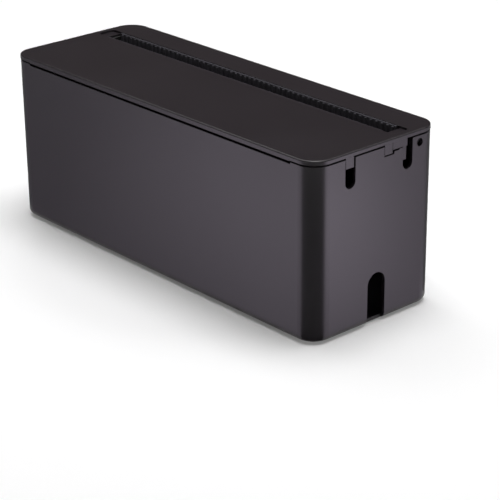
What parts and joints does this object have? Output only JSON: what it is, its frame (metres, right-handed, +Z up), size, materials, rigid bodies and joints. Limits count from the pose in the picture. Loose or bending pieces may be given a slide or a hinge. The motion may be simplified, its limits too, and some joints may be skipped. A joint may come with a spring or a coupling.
{
  "type": "cable management box",
  "caption": "Black plastic cable box with arched and notched lead openings, and a lift-off lid whose slot and tray hold phones upright.",
  "frame": {"origin": "under the middle of the box, on the surface that its feet stand on", "axes": "+X to the right-hand end seen from the front, +Y to the back (the side nearer the device slot), +Z up"},
  "size_m": [0.322, 0.115, 0.1275],
  "materials": {
    "shell": "satin injection-moulded ABS, charcoal black",
    "lid": "satin injection-moulded ABS, charcoal black",
    "tray": "matt injection-moulded ABS, black",
    "slot_rubber": "matt ribbed rubber",
    "screw_steel": "zinc-plated pan-head screws",
    "stud": "smooth acetal, dark grey",
    "foot_rubber": "matt rubber"
  },
  "bodies": {
    "base": {"shell": "shell", "foot_front_left": "foot_rubber", "foot_front_right": "foot_rubber", "foot_rear_left": "foot_rubber", "foot_rear_right": "foot_rubber"},
    "lid_unit": {"lid": "lid", "device_tray": "tray", "slot_pad_front": "slot_rubber", "slot_pad_rear": "slot_rubber", "tray_screws": "screw_steel", "lid_stud_left": "stud", "lid_stud_right": "stud"}
  },
  "joints": [
    {"name": "lid_lift", "type": "slide", "parent": "base", "child": "lid_unit", "axis": [0, 0, 1], "range_m": [0, 0.06]}
  ]
}
